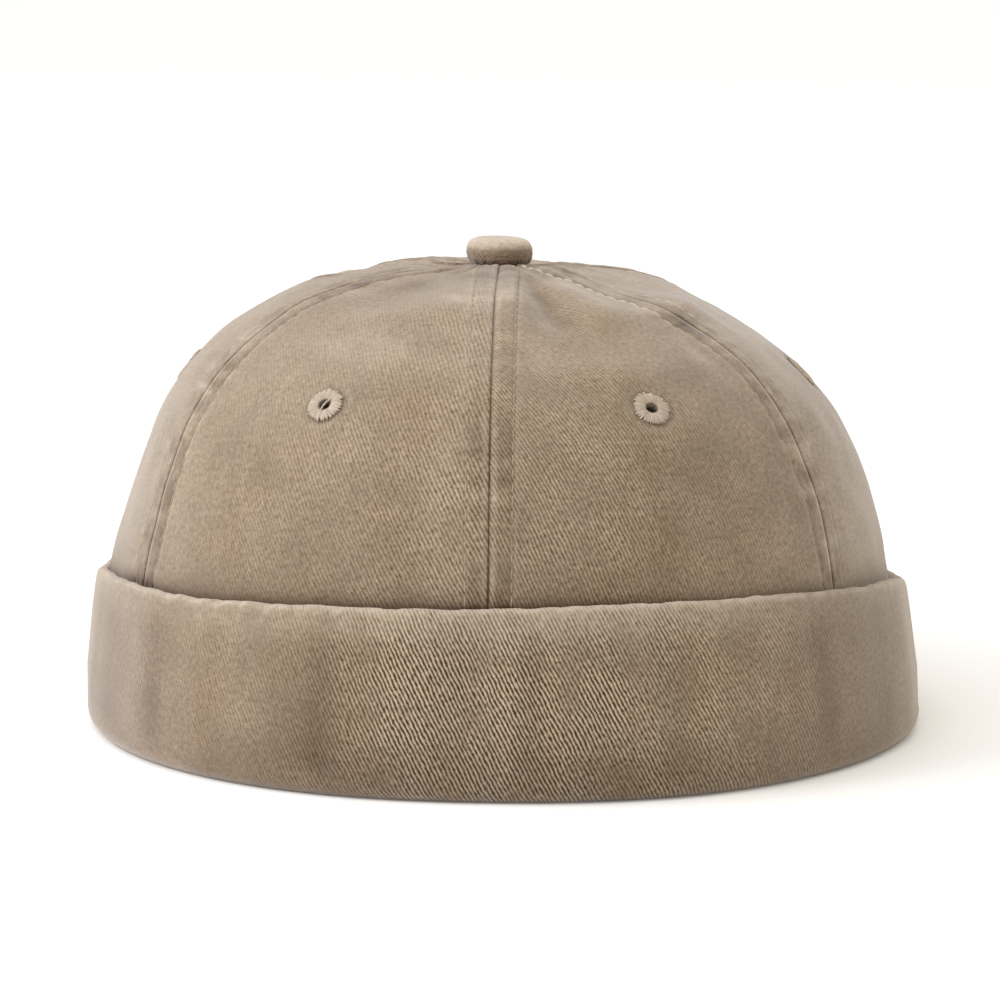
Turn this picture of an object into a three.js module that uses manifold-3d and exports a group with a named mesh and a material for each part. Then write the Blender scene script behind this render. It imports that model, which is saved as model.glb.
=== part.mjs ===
// A brimless six-panel cap in washed cotton twill, with a deep turned-up cuff, a covered
// button at the crown's top and a sewn eyelet in each panel.
// Millimetres, +Z up. The cap rests on its cuff at Z = 0, its front faces -Y, and the origin
// is the centre of its footprint. Left and right are the wearer's, so left is at +X. An
// azimuth is in degrees from the front towards +X.

import * as THREE from "three";
import { mergeVertices } from "three/addons/utils/BufferGeometryUtils.js";
import Module from "manifold-3d";

const wasm = await Module();
wasm.setup();

// Crown
const crownHalfWidth = 90.9; // centre to side, outside, where the panels join the cuff
const crownHalfDepth = 96.2; // centre to front, outside, at the same height
const crownHeight = 102.4; // resting surface to the crown's highest ring
const crownThickness = 1.2; // the panels' cloth with its seam tape
const joinHeight = 13; // where the panels join the cuff's inner limb
const seamGap = 0.3; // between two panels
const joinGap = 0.3; // between the panels and the cuff's inner limb
const topOffset = -1.4; // how far towards +X the crown's top sits from the middle of its base

// Cuff
const cuffHeight = 40.4; // turned-up cuff at the front
const cuffThickness = 2.3; // turned-up limb, with its folded hem
const cuffInnerThickness = 2.2; // limb inside the fold
const foldEase = 1.8; // room between the crown and the turned-up limb, at the bottom fold
const rimEase = 0.9; // the same room at the rim
const foldDepth = 3.2; // cloth under the slot, at the bottom fold
const foldOuterRadius = 3.4; // bottom fold, outside
const foldInnerRadius = 1.2; // bottom fold, inside
const restWidth = 0.6; // least width of the level ring that the cap rests on

// Button
const buttonRadius = 7.5;
const buttonHeight = 7.1;
const buttonTurnIn = 50; // degrees that its cover turns in below the widest line
const buttonFullness = { side: 0.62, top: 0.8 }; // powers of its outline: 1 is a plain ellipse
const buttonPostRadius = 1.7;
const buttonPostClearance = 0.4; // around the post, in the panels' tips
const clinchRadius = 4.5; // plain disc that holds the post, inside the crown
const clinchThickness = 0.8;
const buttonGap = 0.3; // between the crown and what clamps it

// Eyelets
const eyeletRadius = 4.1; // outside of the thread ring
const eyeletHoleRadius = 1; // open hole
const eyeletBarrelRadius = 1.9; // thread where it passes through the panel
const eyeletBarrelClearance = 0.35;
const eyeletRise = 0.9; // thread above the cloth
const eyeletBackRadius = 3.4; // thread ring inside the crown
const eyeletBackRise = 0.6;
const eyeletGap = 0.3; // ring to cloth, outside
const eyeletBackGap = 0.55; // ring to cloth, inside, where the cloth is hollow
const eyeletAlong = 0.52; // share of the way from the join to the crown's top

// Colours
const twillColour = "#ac9c86";
const threadColour = "#c2b5a2";

// The crown's sections, from the join to the top. along runs from 0 to 1. rise is a share of
// the crown's height above the join, and width a share of its half width and half depth.
// lean is how far the sides sit towards +X, as a share of the half width. ridge is how far
// the seams stand outside the middle of a panel, as a share of the local width. square is
// the power of the section's oval: 2 is an ellipse, and more is fuller at its corners.
const crownSections = [
  { along: 0.0, rise: 0.0, width: 1.0, lean: -0.012, ridge: 0.003, square: 2.2 },
  { along: 0.12, rise: 0.225, width: 0.977, lean: -0.012, ridge: 0.004, square: 2.18 },
  { along: 0.25, rise: 0.42, width: 0.932, lean: -0.011, ridge: 0.006, square: 2.15 },
  { along: 0.38, rise: 0.59, width: 0.868, lean: -0.014, ridge: 0.01, square: 2.12 },
  { along: 0.5, rise: 0.72, width: 0.786, lean: -0.022, ridge: 0.016, square: 2.1 },
  { along: 0.6, rise: 0.81, width: 0.695, lean: -0.031, ridge: 0.022, square: 2.08 },
  { along: 0.7, rise: 0.885, width: 0.577, lean: -0.039, ridge: 0.03, square: 2.05 },
  { along: 0.78, rise: 0.936, width: 0.482, lean: -0.042, ridge: 0.036, square: 2.03 },
  { along: 0.86, rise: 0.974, width: 0.345, lean: -0.044, ridge: 0.04, square: 2.0 },
  { along: 0.92, rise: 0.996, width: 0.205, lean: -0.03, ridge: 0.04, square: 2.0 },
  { along: 0.96, rise: 0.99, width: 0.105, lean: -0.008, ridge: 0.03, square: 2.0 },
  { along: 1.0, rise: 0.984, width: 0.0, lean: 0.0, ridge: 0.0, square: 2.0 },
];

// The six seams, each by its azimuth at the join and the azimuth that it heads for at the
// top, and the panel that lies between it and the next one.
const seams = [
  { low: 0, high: 0, panel: "front_left" },
  { low: 54.5, high: 62, panel: "side_left" },
  { low: 119, high: 121, panel: "back_left" },
  { low: 180.5, high: 180, panel: "back_right" },
  { low: 241, high: 239.5, panel: "side_right" },
  { low: 303, high: 297.5, panel: "front_right" },
];

// Soft ridges and dents in the crown. across is in degrees and tall a share of the way up,
// both half widths of the fold. out is its height as a share of the crown's half width.
const crownFolds = [
  { azimuth: 17, along: 0.8, across: 7, tall: 0.09, out: -0.01 },
  { azimuth: 5, along: 0.86, across: 7, tall: 0.05, out: 0.005 },
  { azimuth: 33, along: 0.78, across: 9, tall: 0.07, out: 0.007 },
  { azimuth: -12, along: 0.86, across: 10, tall: 0.05, out: 0.005 },
  { azimuth: -34, along: 0.83, across: 10, tall: 0.07, out: -0.006 },
  { azimuth: 80, along: 0.84, across: 12, tall: 0.045, out: -0.01 },
  { azimuth: 72, along: 0.75, across: 10, tall: 0.06, out: 0.008 },
  { azimuth: 117, along: 0.83, across: 13, tall: 0.06, out: 0.009 },
  { azimuth: -76, along: 0.66, across: 10, tall: 0.12, out: 0.006 },
  { azimuth: -117, along: 0.91, across: 18, tall: 0.04, out: 0.012 },
  { azimuth: -96, along: 0.8, across: 9, tall: 0.06, out: -0.008 },
  { azimuth: 150, along: 0.78, across: 12, tall: 0.09, out: -0.011 },
  { azimuth: -152, along: 0.82, across: 11, tall: 0.08, out: -0.01 },
  { azimuth: 170, along: 0.52, across: 12, tall: 0.13, out: 0.007 },
  { azimuth: -138, along: 0.5, across: 13, tall: 0.11, out: -0.007 },
];

// The turned-up cuff round the cap. height is its rim's, as a share of its height at the
// front. fold and rim are the room behind it at the bottom fold and at the rim, as shares of
// the eases above.
const cuffEdge = [
  { azimuth: 0, height: 1.0, fold: 1.0, rim: 0.75 },
  { azimuth: 22, height: 1.018, fold: 0.95, rim: 0.75 },
  { azimuth: 45, height: 0.99, fold: 0.83, rim: 0.9 },
  { azimuth: 60, height: 0.936, fold: 1.3, rim: 1.3 },
  { azimuth: 75, height: 0.884, fold: 1.95, rim: 1.8 },
  { azimuth: 90, height: 0.768, fold: 1.7, rim: 2 },
  { azimuth: 105, height: 0.716, fold: 1.55, rim: 1.8 },
  { azimuth: 130, height: 0.75, fold: 1.3, rim: 1.3 },
  { azimuth: 155, height: 0.81, fold: 1.0, rim: 1.0 },
  { azimuth: 180, height: 0.84, fold: 1.0, rim: 0.9 },
  { azimuth: 205, height: 0.835, fold: 0.95, rim: 0.9 },
  { azimuth: 230, height: 0.82, fold: 0.75, rim: 0.9 },
  { azimuth: 255, height: 0.79, fold: 0.5, rim: 0.75 },
  { azimuth: 270, height: 0.795, fold: 0.45, rim: 0.7 },
  { azimuth: 285, height: 0.885, fold: 0.5, rim: 0.7 },
  { azimuth: 300, height: 0.915, fold: 0.6, rim: 0.8 },
  { azimuth: 318, height: 0.944, fold: 0.75, rim: 0.8 },
  { azimuth: 340, height: 0.986, fold: 0.97, rim: 0.75 },
  { azimuth: 360, height: 1.0, fold: 1.0, rim: 0.75 },
];

// How finely the surfaces are divided
const panelColumns = 12;
const panelRows = 16;
const cuffColumns = 72;
const arcSteps = 4;
const eyeletSteps = 14;
const buttonSteps = 24;

const radians = THREE.MathUtils.degToRad;

// Reads a column of a table at a place between its rows, on a smooth curve through them.
function readTable(rows, key, column, at) {
  let i = rows.findIndex((row) => row[key] > at) - 1;
  if (i < 0) i = rows.length - 2;
  const slope = (k) => {
    const before = rows[Math.max(k - 1, 0)];
    const after = rows[Math.min(k + 1, rows.length - 1)];
    return (after[column] - before[column]) / (after[key] - before[key]);
  };
  const [a, b] = [rows[i], rows[i + 1]];
  const span = b[key] - a[key];
  const t = (at - a[key]) / span;
  return (
    (2 * t ** 3 - 3 * t ** 2 + 1) * a[column] +
    (t ** 3 - 2 * t ** 2 + t) * span * slope(i) +
    (3 * t ** 2 - 2 * t ** 3) * b[column] +
    (t ** 3 - t ** 2) * span * slope(i + 1)
  );
}

const crownAt = (column, along) => readTable(crownSections, "along", column, along);

// Finds where a rising function reaches a value.
function solve(rising, value, low = 0, high = 1) {
  for (let i = 0; i < 40; i++) {
    const middle = (low + high) / 2;
    if (rising(middle) < value) low = middle;
    else high = middle;
  }
  return (low + high) / 2;
}

// Panels, each from its own seam to the next one
const panels = seams.map((seam, i) => ({
  name: seam.panel,
  from: seam,
  to: seams[i + 1] ?? { low: seams[0].low + 360, high: seams[0].high + 360 },
}));

const seamAzimuth = (seam, along) => THREE.MathUtils.lerp(seam.low, seam.high, along);

// The share of the way across its panel, from -1 to 1, at a place on the crown.
function acrossPanel(azimuth, along) {
  const turned = THREE.MathUtils.euclideanModulo(azimuth, 360);
  const panel = panels.find((p) => turned <= seamAzimuth(p.to, along));
  const [from, to] = [seamAzimuth(panel.from, along), seamAzimuth(panel.to, along)];
  return (2 * turned - from - to) / (to - from);
}

// How far out an oval of this power lies at an azimuth: 1 all round for an ellipse.
function ovalReach(azimuth, power) {
  const [across, ahead] = [Math.abs(Math.sin(radians(azimuth))), Math.abs(Math.cos(radians(azimuth)))];
  return (across ** power + ahead ** power) ** (-1 / power);
}

// How far the folds push the crown out.
function foldOut(azimuth, along) {
  return crownFolds.reduce((sum, fold) => {
    const turn = THREE.MathUtils.euclideanModulo(azimuth - fold.azimuth + 180, 360) - 180;
    const far = (turn / fold.across) ** 2 + ((along - fold.along) / fold.tall) ** 2;
    return sum + fold.out * crownHalfWidth * Math.exp(-far);
  }, 0);
}

// The slope of the crown's profile as an outward direction: [level part, upward part].
function profileNormal(along) {
  const step = 0.002;
  const low = Math.max(along - step, 0);
  const high = Math.min(along + step, 1);
  const rise = (crownAt("rise", high) - crownAt("rise", low)) * (crownHeight - joinHeight);
  const run = (crownAt("width", high) - crownAt("width", low)) * crownHalfWidth;
  const length = Math.hypot(rise, run);
  return [rise / length, -run / length];
}

// A point of the crown, a depth below its outer surface. The bottom edge is cut level.
function crownPoint(azimuth, along, depth = 0) {
  const [level, upward] = along > 0 ? profileNormal(along) : [1, 0];
  const seamward = 1 + crownAt("ridge", along) * acrossPanel(azimuth, along) ** 2;
  const width = crownAt("width", along) * seamward * ovalReach(azimuth, crownAt("square", along));
  const out = foldOut(azimuth, along) - depth;
  const [across, ahead] = [Math.sin(radians(azimuth)), Math.cos(radians(azimuth))];
  const lean = crownAt("lean", along) * crownHalfWidth * across ** 2 + topOffset * along ** 2;
  return new THREE.Vector3(
    (crownHalfWidth * width + out * level) * across + lean,
    -(crownHalfDepth * width + out * level) * ahead,
    joinHeight + crownAt("rise", along) * (crownHeight - joinHeight) + out * upward,
  );
}

// The crown's outward normal at a point.
function crownNormal(azimuth, along) {
  const turn = crownPoint(azimuth + 1, along).sub(crownPoint(azimuth - 1, along));
  const climb = crownPoint(azimuth, along + 0.01).sub(crownPoint(azimuth, along - 0.01));
  return turn.cross(climb).normalize();
}

// Joins rows of points into a closed mesh. Each row is a loop of as many points. Rows are
// capped at both ends, or the last row joins the first where the rows go round a ring.
function loft(rows, ring = false) {
  const count = rows[0].length;
  const positions = rows.flat().flatMap((p) => p.toArray());
  const faces = [];
  const spans = ring ? rows.length : rows.length - 1;
  for (let r = 0; r < spans; r++) {
    const [here, next] = [r * count, ((r + 1) % rows.length) * count];
    for (let i = 0; i < count; i++) {
      const j = (i + 1) % count;
      faces.push(here + i, here + j, next + j, here + i, next + j, next + i);
    }
  }
  if (!ring) {
    // A wall's row runs out along one face and back along the other, so its cap is a strip.
    const last = (rows.length - 1) * count;
    for (let i = 0; i < count / 2 - 1; i++) {
      const back = count - 1 - i;
      faces.push(i, back, i + 1, i + 1, back, back - 1);
      faces.push(last + i, last + i + 1, last + back, last + i + 1, last + back - 1, last + back);
    }
  }
  const geometry = new THREE.BufferGeometry();
  geometry.setAttribute("position", new THREE.Float32BufferAttribute(positions, 3));
  geometry.setIndex(faces);
  return geometry;
}

// A three.js geometry as a solid that can be cut.
function solid(geometry) {
  const bare = geometry.clone();
  bare.deleteAttribute("normal");
  bare.deleteAttribute("uv");
  const merged = mergeVertices(bare, 1e-4);
  return new wasm.Manifold(
    new wasm.Mesh({
      numProp: 3,
      vertProperties: merged.attributes.position.array,
      triVerts: new Uint32Array(merged.index.array),
    }),
  );
}

// A solid as a three.js geometry.
function geometryOf(made) {
  const mesh = made.getMesh();
  const geometry = new THREE.BufferGeometry();
  geometry.setAttribute("position", new THREE.Float32BufferAttribute(mesh.vertProperties, 3));
  geometry.setIndex(Array.from(mesh.triVerts));
  geometry.computeVertexNormals();
  return geometry;
}

function material(colour, roughness) {
  return new THREE.MeshStandardMaterial({ color: colour, roughness, metalness: 0 });
}

const twill = material(twillColour, 0.9);
const thread = material(threadColour, 0.75);

function named(name, geometry, finish) {
  const mesh = new THREE.Mesh(geometry, finish);
  mesh.name = name;
  return mesh;
}

// Turns a mesh's own +Y to a direction and puts it at a point.
function place(mesh, point, direction) {
  mesh.quaternion.setFromUnitVectors(new THREE.Vector3(0, 1, 0), direction);
  mesh.position.copy(point);
  return mesh;
}

// Panels: each is a gore of cloth from the join up to the button's post
const tipRadius = buttonPostRadius + buttonPostClearance;
const tipAlong = solve((along) => 1 - crownAt("width", along), 1 - tipRadius / crownHalfWidth);

function panelGeometry(panel) {
  const rows = [];
  for (let r = 0; r <= panelRows; r++) {
    const along = (tipAlong * r) / panelRows;
    const halfGap = THREE.MathUtils.radToDeg(seamGap / 2 / (crownAt("width", along) * crownHalfWidth));
    const from = seamAzimuth(panel.from, along) + halfGap;
    const to = seamAzimuth(panel.to, along) - halfGap;
    const outer = [];
    const inner = [];
    for (let c = 0; c <= panelColumns; c++) {
      const azimuth = THREE.MathUtils.lerp(from, to, c / panelColumns);
      outer.push(crownPoint(azimuth, along));
      inner.unshift(crownPoint(azimuth, along, crownThickness));
    }
    rows.push([...outer, ...inner]);
  }
  return loft(rows);
}

// Eyelets: a ring of thread clasps the edge of its hole from both sides
function eyeletGeometry() {
  const back = -crownThickness - eyeletBackGap;
  const middle = (eyeletRadius + eyeletHoleRadius) / 2;
  const profile = [
    [eyeletHoleRadius, back - eyeletBackRise],
    [eyeletBackRadius, back - eyeletBackRise],
    [eyeletBackRadius, back],
    [eyeletBarrelRadius, back],
    [eyeletBarrelRadius, eyeletGap],
  ];
  for (let i = 0; i <= arcSteps; i++) {
    const angle = (Math.PI * i) / arcSteps;
    const across = (eyeletRadius - middle) * Math.cos(angle);
    profile.push([middle + across, eyeletGap + eyeletRise * Math.sin(angle)]);
  }
  profile.push(profile[0]);
  return new THREE.LatheGeometry(profile.map(([x, y]) => new THREE.Vector2(x, y)), eyeletSteps);
}

function eyeletCutter() {
  const radius = eyeletBarrelRadius + eyeletBarrelClearance;
  return new THREE.CylinderGeometry(radius, radius, 6 * crownThickness, eyeletSteps);
}

// Button: a domed, covered disc whose post goes down through the panels' tips
function crownHeights(radius) {
  const heights = [];
  const from = solve((along) => 1 - crownAt("width", along), 1 - radius / crownHalfWidth);
  for (let r = 0; r <= arcSteps; r++) {
    const along = THREE.MathUtils.lerp(from, tipAlong, r / arcSteps);
    for (let c = 0; c < cuffColumns; c++) heights.push(crownPoint((360 * c) / cuffColumns, along).z);
  }
  return { low: Math.min(...heights), high: Math.max(...heights) };
}

// The button's outline at an angle above its widest line: [share of radius, share of height].
function buttonOutline(degrees) {
  const [across, up] = [Math.cos(radians(degrees)), Math.sin(radians(degrees))];
  return [Math.abs(across) ** buttonFullness.side, Math.sign(up) * Math.abs(up) ** buttonFullness.top];
}

function buttonGeometry() {
  const seat = crownHeights(buttonRadius).high + buttonGap;
  const clinch = crownHeights(clinchRadius).low - crownThickness - buttonGap;
  const profile = [
    [0, clinch - clinchThickness],
    [clinchRadius, clinch - clinchThickness],
    [clinchRadius, clinch],
    [buttonPostRadius, clinch],
    [buttonPostRadius, seat],
  ];
  const lowest = buttonOutline(-buttonTurnIn)[1];
  for (let i = 0; i < 2 * arcSteps; i++) {
    const turn = THREE.MathUtils.lerp(-buttonTurnIn, 90, i / (2 * arcSteps));
    const [across, up] = buttonOutline(turn);
    profile.push([buttonRadius * across, seat + (buttonHeight * (up - lowest)) / (1 - lowest)]);
  }
  profile.push([0, seat + buttonHeight]);
  return new THREE.LatheGeometry(profile.map(([x, y]) => new THREE.Vector2(x, y)), buttonSteps);
}

// Cuff: the cloth goes down from the join, turns at the bottom fold and stands up outside
const cuffReach = 0.5; // share of the way up the crown, within which its cuff ends

function cuffPoint(azimuth, height, out) {
  const risen = (height - joinHeight) / (crownHeight - joinHeight);
  const along = solve((share) => crownAt("rise", share), Math.max(risen, 0), 0, cuffReach);
  const width = crownAt("width", along) * ovalReach(azimuth, crownAt("square", along));
  const [across, ahead] = [Math.sin(radians(azimuth)), Math.cos(radians(azimuth))];
  const lean = crownAt("lean", along) * crownHalfWidth * across ** 2;
  return new THREE.Vector3(
    (crownHalfWidth * width + out) * across + lean,
    -(crownHalfDepth * width + out) * ahead,
    height,
  );
}

function arc(centreOut, centreHeight, radius, fromDegrees, toDegrees) {
  return Array.from({ length: arcSteps + 1 }, (_, i) => {
    const angle = radians(THREE.MathUtils.lerp(fromDegrees, toDegrees, i / arcSteps));
    return [centreOut + radius * Math.cos(angle), centreHeight + radius * Math.sin(angle)];
  });
}

function cuffSection(azimuth) {
  const edgeAt = (column) => readTable(cuffEdge, "azimuth", column, azimuth);
  const top = cuffHeight * edgeAt("height");
  const hem = cuffThickness / 2;
  const lowEase = foldEase * edgeAt("fold");
  const highEase = rimEase * edgeAt("rim");
  const outer = lowEase + cuffThickness;
  const level = -cuffInnerThickness + foldInnerRadius; // where the level ring starts
  const foldRadius = Math.min(foldOuterRadius, outer - level - restWidth);
  const [low, high] = [(2 * foldRadius + top) / 3, (foldRadius + 2 * top) / 3];
  const easeAt = (height) => THREE.MathUtils.lerp(lowEase, highEase, height / top);
  const path = [
    [-cuffInnerThickness, joinHeight - joinGap],
    ...arc(level, foldInnerRadius, foldInnerRadius, 180, 270),
    ...arc(outer - foldRadius, foldRadius, foldRadius, 270, 360),
    [easeAt(low) + cuffThickness, low],
    [easeAt(high) + cuffThickness, high],
    ...arc(highEase + hem, top - hem, hem, 0, 180),
    [easeAt(high), high],
    [easeAt(low), low],
    [lowEase, foldDepth],
    [0, foldDepth],
    [0, joinHeight - joinGap],
  ];
  return path.map(([out, height]) => cuffPoint(azimuth, height, out)).reverse();
}

function cuffGeometry() {
  const rows = [];
  for (let c = 0; c < cuffColumns; c++) rows.push(cuffSection((360 * c) / cuffColumns));
  return loft(rows, true);
}

// The cap, each eyelet at the middle of its panel
const cap = new THREE.Group();
for (const panel of panels) {
  const middle = (seamAzimuth(panel.from, eyeletAlong) + seamAzimuth(panel.to, eyeletAlong)) / 2;
  const seat = [crownPoint(middle, eyeletAlong), crownNormal(middle, eyeletAlong)];
  const cutter = place(new THREE.Mesh(eyeletCutter()), ...seat);
  cutter.updateMatrix();
  const hole = cutter.geometry.applyMatrix4(cutter.matrix);
  const cloth = geometryOf(solid(panelGeometry(panel)).subtract(solid(hole)));
  cap.add(named(`panel_${panel.name}`, cloth, twill));
  cap.add(place(named(`eyelet_${panel.name}`, eyeletGeometry(), thread), ...seat));
}
cap.add(named("cuff", geometryOf(solid(cuffGeometry())), twill));
const up = new THREE.Vector3(0, 0, 1);
cap.add(place(named("button", buttonGeometry(), twill), new THREE.Vector3(topOffset, 0, 0), up));

export default cap;
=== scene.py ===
import math
import random

import bpy
import numpy as np
from mathutils import Matrix, Vector, noise


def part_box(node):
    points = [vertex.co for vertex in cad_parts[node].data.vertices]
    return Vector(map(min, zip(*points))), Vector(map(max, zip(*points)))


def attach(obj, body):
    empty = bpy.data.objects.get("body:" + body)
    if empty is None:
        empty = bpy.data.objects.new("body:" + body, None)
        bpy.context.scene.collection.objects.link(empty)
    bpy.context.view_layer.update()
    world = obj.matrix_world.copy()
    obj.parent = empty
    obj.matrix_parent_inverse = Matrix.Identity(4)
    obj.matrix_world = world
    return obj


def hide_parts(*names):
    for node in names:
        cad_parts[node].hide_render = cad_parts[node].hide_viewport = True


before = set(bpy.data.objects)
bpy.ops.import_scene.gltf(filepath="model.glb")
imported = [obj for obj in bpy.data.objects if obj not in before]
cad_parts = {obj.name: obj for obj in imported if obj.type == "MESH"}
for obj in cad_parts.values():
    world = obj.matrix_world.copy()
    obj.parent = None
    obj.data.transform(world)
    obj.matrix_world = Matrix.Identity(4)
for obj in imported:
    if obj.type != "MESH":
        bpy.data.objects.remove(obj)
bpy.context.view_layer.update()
mm = 0.001
draw = random.Random(7)


def toLinear(hexColour):
    parts = [int(hexColour[i:i + 2], 16) / 255 for i in (1, 3, 5)]
    return [c / 12.92 if c <= 0.04045 else ((c + 0.055) / 1.055) ** 2.4 for c in parts] + [1]


def addNode(tree, kind, settings=None, links=None):
    node = tree.nodes.new(kind)
    for key, value in (settings or {}).items():
        if isinstance(key, int) or key in node.inputs:
            node.inputs[key].default_value = value
        else:
            setattr(node, key, value)
    for key, source in (links or {}).items():
        tree.links.new(source, node.inputs[key])
    return node


# The crown's sections from the join to the top: along, rise, width, lean, ridge, square
crown = {
    "halfWidth": 90.9,
    "halfDepth": 96.2,
    "height": 102.4,
    "joinHeight": 13.0,
    "topOffset": -1.4,
    "clothThickness": 1.2,
    "sections": [
        (0.0, 0.0, 1.0, -0.012, 0.003, 2.2),
        (0.12, 0.225, 0.977, -0.012, 0.004, 2.18),
        (0.25, 0.42, 0.932, -0.011, 0.006, 2.15),
        (0.38, 0.59, 0.868, -0.014, 0.01, 2.12),
        (0.5, 0.72, 0.786, -0.022, 0.016, 2.1),
        (0.6, 0.81, 0.695, -0.031, 0.022, 2.08),
        (0.7, 0.885, 0.577, -0.039, 0.03, 2.05),
        (0.78, 0.936, 0.482, -0.042, 0.036, 2.03),
        (0.86, 0.974, 0.345, -0.044, 0.04, 2.0),
        (0.92, 0.996, 0.205, -0.03, 0.04, 2.0),
        (0.96, 0.99, 0.105, -0.008, 0.03, 2.0),
        (1.0, 0.984, 0.0, 0.0, 0.0, 2.0),
    ],
    # azimuth, along, half width in degrees, half height, height as a share of the half width
    "folds": [
        (17, 0.8, 7, 0.09, -0.01), (5, 0.86, 7, 0.05, 0.005), (33, 0.78, 9, 0.07, 0.007),
        (-12, 0.86, 10, 0.05, 0.005), (-34, 0.83, 10, 0.07, -0.006), (80, 0.84, 12, 0.045, -0.01),
        (72, 0.75, 10, 0.06, 0.008), (117, 0.83, 13, 0.06, 0.009), (-76, 0.66, 10, 0.12, 0.006),
        (-117, 0.91, 18, 0.04, 0.012), (-96, 0.8, 9, 0.06, -0.008), (150, 0.78, 12, 0.09, -0.011),
        (-152, 0.82, 11, 0.08, -0.01), (170, 0.52, 12, 0.13, 0.007), (-138, 0.5, 13, 0.11, -0.007),
    ],
    # the seams' azimuths at the join and at the top, and the panel that follows each
    "seams": [
        (0.0, 0.0, "front_left"), (54.5, 62.0, "side_left"), (119.0, 121.0, "back_left"),
        (180.5, 180.0, "back_right"), (241.0, 239.5, "side_right"), (303.0, 297.5, "front_right"),
    ],
    "bend": -5.0,  # the left front seam lies bent forward near the top
}


def readTable(rows, column, at):
    table = np.array(rows, float)
    keys, values = table[:, 0], table[:, column]
    i = np.clip(np.searchsorted(keys, at, side="right") - 1, 0, len(keys) - 2)
    before = np.clip(np.arange(len(keys)) - 1, 0, None)
    after = np.clip(np.arange(len(keys)) + 1, None, len(keys) - 1)
    slopes = (values[after] - values[before]) / (keys[after] - keys[before])
    span = keys[i + 1] - keys[i]
    t = (at - keys[i]) / span
    return (
        (2 * t**3 - 3 * t**2 + 1) * values[i] + (t**3 - 2 * t**2 + t) * span * slopes[i]
        + (3 * t**2 - 2 * t**3) * values[i + 1] + (t**3 - t**2) * span * slopes[i + 1]
    )


def bell(value, centre, width):
    return np.exp(-((value - centre) / width) ** 2)


def crownAt(column, along):
    return readTable(crown["sections"], column, along)


def seamAzimuth(seam, along):
    turns, which = divmod(seam, len(crown["seams"]))
    low, high, _ = crown["seams"][which]
    bend = crown["bend"] * bell(along, 0.88, 0.16) * (which == 1)
    return 360 * turns + low + (high - low) * along + bend


def acrossPanel(azimuth, along):
    turned = np.mod(azimuth, 360)
    across = np.zeros_like(turned)
    for i in range(len(crown["seams"])):
        low, high = seamAzimuth(i, along), seamAzimuth(i + 1, along)
        inside = (turned > low) & (turned <= high) | ((i == 0) & (turned <= low))
        across = np.where(inside, (2 * turned - low - high) / (high - low), across)
    return across


def ovalReach(azimuth, power):
    a = np.radians(azimuth)
    return (np.abs(np.sin(a)) ** power + np.abs(np.cos(a)) ** power) ** (-1 / power)


def foldOut(azimuth, along):
    out = np.zeros_like(azimuth)
    for fold, at, across, tall, height in crown["folds"]:
        turn = np.mod(azimuth - fold + 180, 360) - 180
        out += height * crown["halfWidth"] * np.exp(-(turn / across) ** 2 - ((along - at) / tall) ** 2)
    return out


# A point of the crown's outer face, on the same surface as the solids
def crownPoint(azimuth, along):
    azimuth, along = np.broadcast_arrays(np.asarray(azimuth, float), np.asarray(along, float))
    low, high = np.clip(along - 0.002, 0, 1), np.clip(along + 0.002, 0, 1)
    tall = crown["height"] - crown["joinHeight"]
    rise = (crownAt(1, high) - crownAt(1, low)) * tall
    run = (crownAt(2, high) - crownAt(2, low)) * crown["halfWidth"]
    level = np.where(along > 0, rise / np.hypot(rise, run), 1)
    upward = np.where(along > 0, -run / np.hypot(rise, run), 0)
    width = crownAt(2, along) * (1 + crownAt(4, along) * acrossPanel(azimuth, along) ** 2)
    width = width * ovalReach(azimuth, crownAt(5, along))
    out = foldOut(azimuth, along)
    across, ahead = np.sin(np.radians(azimuth)), np.cos(np.radians(azimuth))
    lean = crownAt(3, along) * crown["halfWidth"] * across**2 + crown["topOffset"] * along**2
    return np.stack([
        (crown["halfWidth"] * width + out * level) * across + lean,
        -(crown["halfDepth"] * width + out * level) * ahead,
        crown["joinHeight"] + crownAt(1, along) * tall + out * upward,
    ], -1)


def gridNormals(points, ring=False):
    if ring:
        across = np.roll(points, -1, 1) - np.roll(points, 1, 1)
    else:
        across = np.gradient(points, axis=1)
    normals = np.cross(across, np.gradient(points, axis=0))
    return normals / np.linalg.norm(normals, axis=-1, keepdims=True)


# Smooth noise from -1 to 1 at each point, with lumps about as long as size
def lumps(points, size, seed=0.0):
    flat = (points / size).reshape(-1, 3) + seed
    return np.array([noise.noise(p) for p in flat.tolist()]).reshape(points.shape[:-1]) * 1.6


def smoothStep(value, low, high):
    t = np.clip((value - low) / (high - low), 0, 1)
    return t * t * (3 - 2 * t)


# Makes a mesh object from a grid of points in millimetres, with its UV map in metres of cloth
def sheetObject(name, points, uv, marks, ring=False):
    rows, columns = points.shape[:2]
    r, c = np.meshgrid(np.arange(rows - 1), np.arange(columns if ring else columns - 1), indexing="ij")
    here, right = r * columns + c, r * columns + (c + 1) % columns
    faces = np.stack([here, right, right + columns, here + columns], -1).reshape(-1, 4)
    mesh = bpy.data.meshes.new(name)
    mesh.from_pydata((points * mm).reshape(-1, 3).tolist(), [], faces.tolist())
    corner = np.stack([r, c, r, c + 1, r + 1, c + 1, r + 1, c], -1).reshape(-1, 2)
    layer = mesh.uv_layers.new(name="cloth")
    layer.data.foreach_set("uv", (uv[corner[:, 0], corner[:, 1]] * mm).astype(np.float32).ravel())
    for mark, values in marks.items():
        attribute = mesh.attributes.new(mark, "FLOAT", "POINT")
        attribute.data.foreach_set("value", values.astype(np.float32).ravel())
    mesh.update()
    sheet = bpy.data.objects.new(name, mesh)
    bpy.context.scene.collection.objects.link(sheet)
    return sheet


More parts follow.
